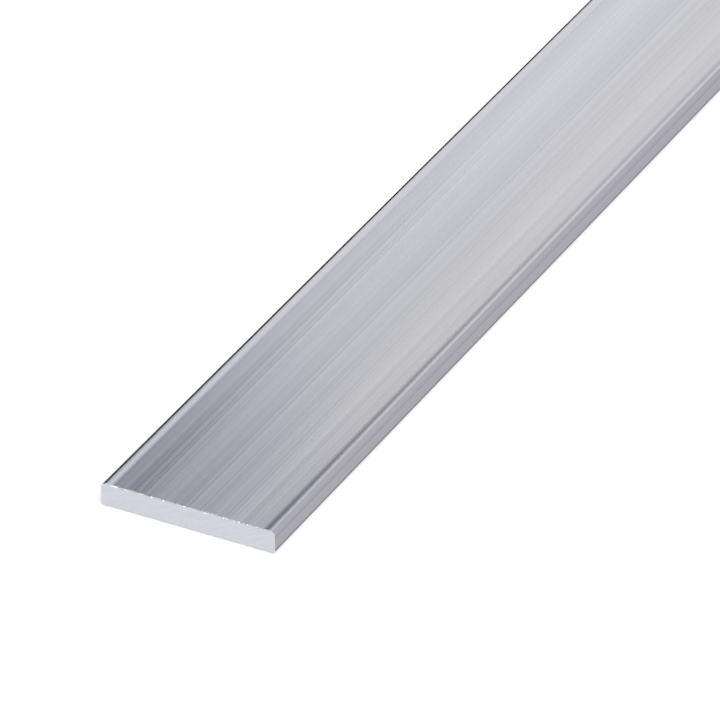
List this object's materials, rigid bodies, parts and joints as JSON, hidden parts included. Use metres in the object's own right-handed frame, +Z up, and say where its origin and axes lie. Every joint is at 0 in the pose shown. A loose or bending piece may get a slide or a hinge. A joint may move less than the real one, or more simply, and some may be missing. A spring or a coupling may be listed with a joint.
{
  "type": "aluminium flat bar",
  "caption": "Extruded aluminium flat bar with rounded long edges and square sawn ends; stock for cutting, drilling, bending and joining.",
  "frame": {"origin": "midway along and midway across the bar, on the surface that it lies on", "axes": "+X across the broad faces, +Y along the bar, +Z up through its thickness"},
  "size_m": [0.03, 1, 0.004],
  "materials": {
    "mill_aluminium": "mill finish with die lines along the bar, ends left as sawn"
  },
  "bodies": {
    "root": {"flat_bar": "mill_aluminium"}
  },
  "joints": []
}
